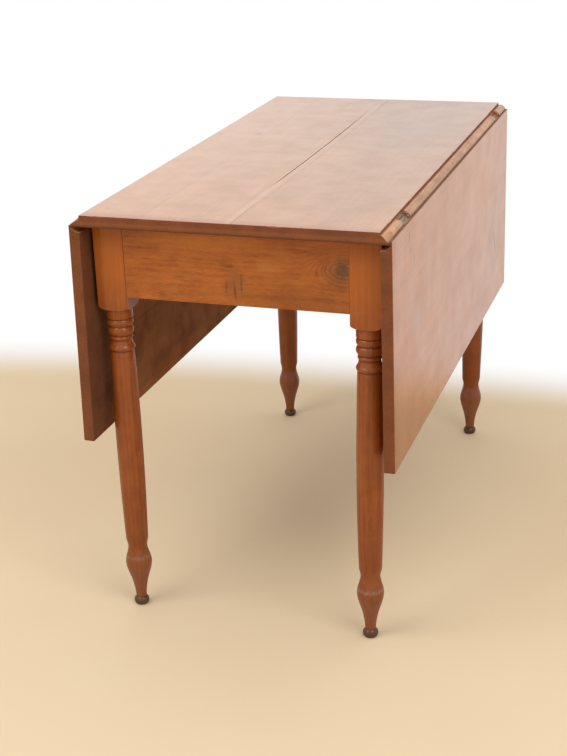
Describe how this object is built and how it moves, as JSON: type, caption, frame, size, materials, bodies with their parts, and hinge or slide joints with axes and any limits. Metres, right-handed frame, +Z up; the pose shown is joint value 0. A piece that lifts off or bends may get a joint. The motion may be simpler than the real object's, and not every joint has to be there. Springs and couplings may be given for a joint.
{
  "type": "drop-leaf table",
  "caption": "Cherry drop-leaf table with rule-jointed hanging leaves, plain end aprons and ring-turned legs on small ball feet.",
  "frame": {"origin": "on the floor under the middle of the table", "axes": "+X across the leaves to the right leaf, +Y along the top away from the pictured end, +Z up"},
  "size_m": [0.5422, 1.022, 0.735],
  "materials": {
    "cherry_top": "worn, hazy varnish on aged cherry",
    "cherry_leaf": "worn, hazy varnish on aged cherry",
    "cherry_apron": "warm satin varnish on figured cherry",
    "cherry_leg": "glossy reddish varnish on turned cherry",
    "inner_hardwood": "bare, darkened hardwood",
    "hinge_iron": "dull grey wrought iron",
    "screw_steel": "aged steel"
  },
  "bodies": {
    "frame": {"end_apron_back": "cherry_apron", "end_apron_front": "cherry_apron", "fly_block_left": "inner_hardwood", "fly_block_right": "inner_hardwood", "fly_bracket_left_back": "inner_hardwood", "fly_bracket_left_front": "inner_hardwood", "fly_bracket_right_back": "inner_hardwood", "fly_bracket_right_front": "inner_hardwood", "fly_pin_left_back": "hinge_iron", "fly_pin_left_front": "hinge_iron", "fly_pin_right_back": "hinge_iron", "fly_pin_right_front": "hinge_iron", "fly_screws": "screw_steel", "hinge_pin_left_back": "hinge_iron", "hinge_pin_left_front": "hinge_iron", "hinge_pin_right_back": "hinge_iron", "hinge_pin_right_front": "hinge_iron", "hinge_plate_top_left_back": "hinge_iron", "hinge_plate_top_left_front": "hinge_iron", "hinge_plate_top_right_back": "hinge_iron", "hinge_plate_top_right_front": "hinge_iron", "hinge_screws_top": "screw_steel", "leg_back_left": "cherry_leg", "leg_back_right": "cherry_leg", "leg_front_left": "cherry_leg", "leg_front_right": "cherry_leg", "side_rail_left": "inner_hardwood", "side_rail_right": "inner_hardwood", "top_board_left": "cherry_top", "top_board_middle": "cherry_top", "top_board_right": "cherry_top", "top_screws": "screw_steel", "top_seam_strip": "cherry_top"},
    "left_leaf": {"hinge_plate_leaf_left_back": "hinge_iron", "hinge_plate_leaf_left_front": "hinge_iron", "hinge_screws_leaf_left": "screw_steel", "leaf_left": "cherry_leaf"},
    "right_leaf": {"hinge_plate_leaf_right_back": "hinge_iron", "hinge_plate_leaf_right_front": "hinge_iron", "hinge_screws_leaf_right": "screw_steel", "leaf_right": "cherry_leaf"}
  },
  "joints": [
    {"name": "right_leaf_hinge", "type": "hinge", "parent": "frame", "child": "right_leaf", "pos_m": [0.2485, 0, 0.719], "axis": [0, -1, 0], "range_deg": [0, 89]},
    {"name": "left_leaf_hinge", "type": "hinge", "parent": "frame", "child": "left_leaf", "pos_m": [-0.2485, 0, 0.719], "axis": [0, 1, 0], "range_deg": [0, 89]}
  ]
}
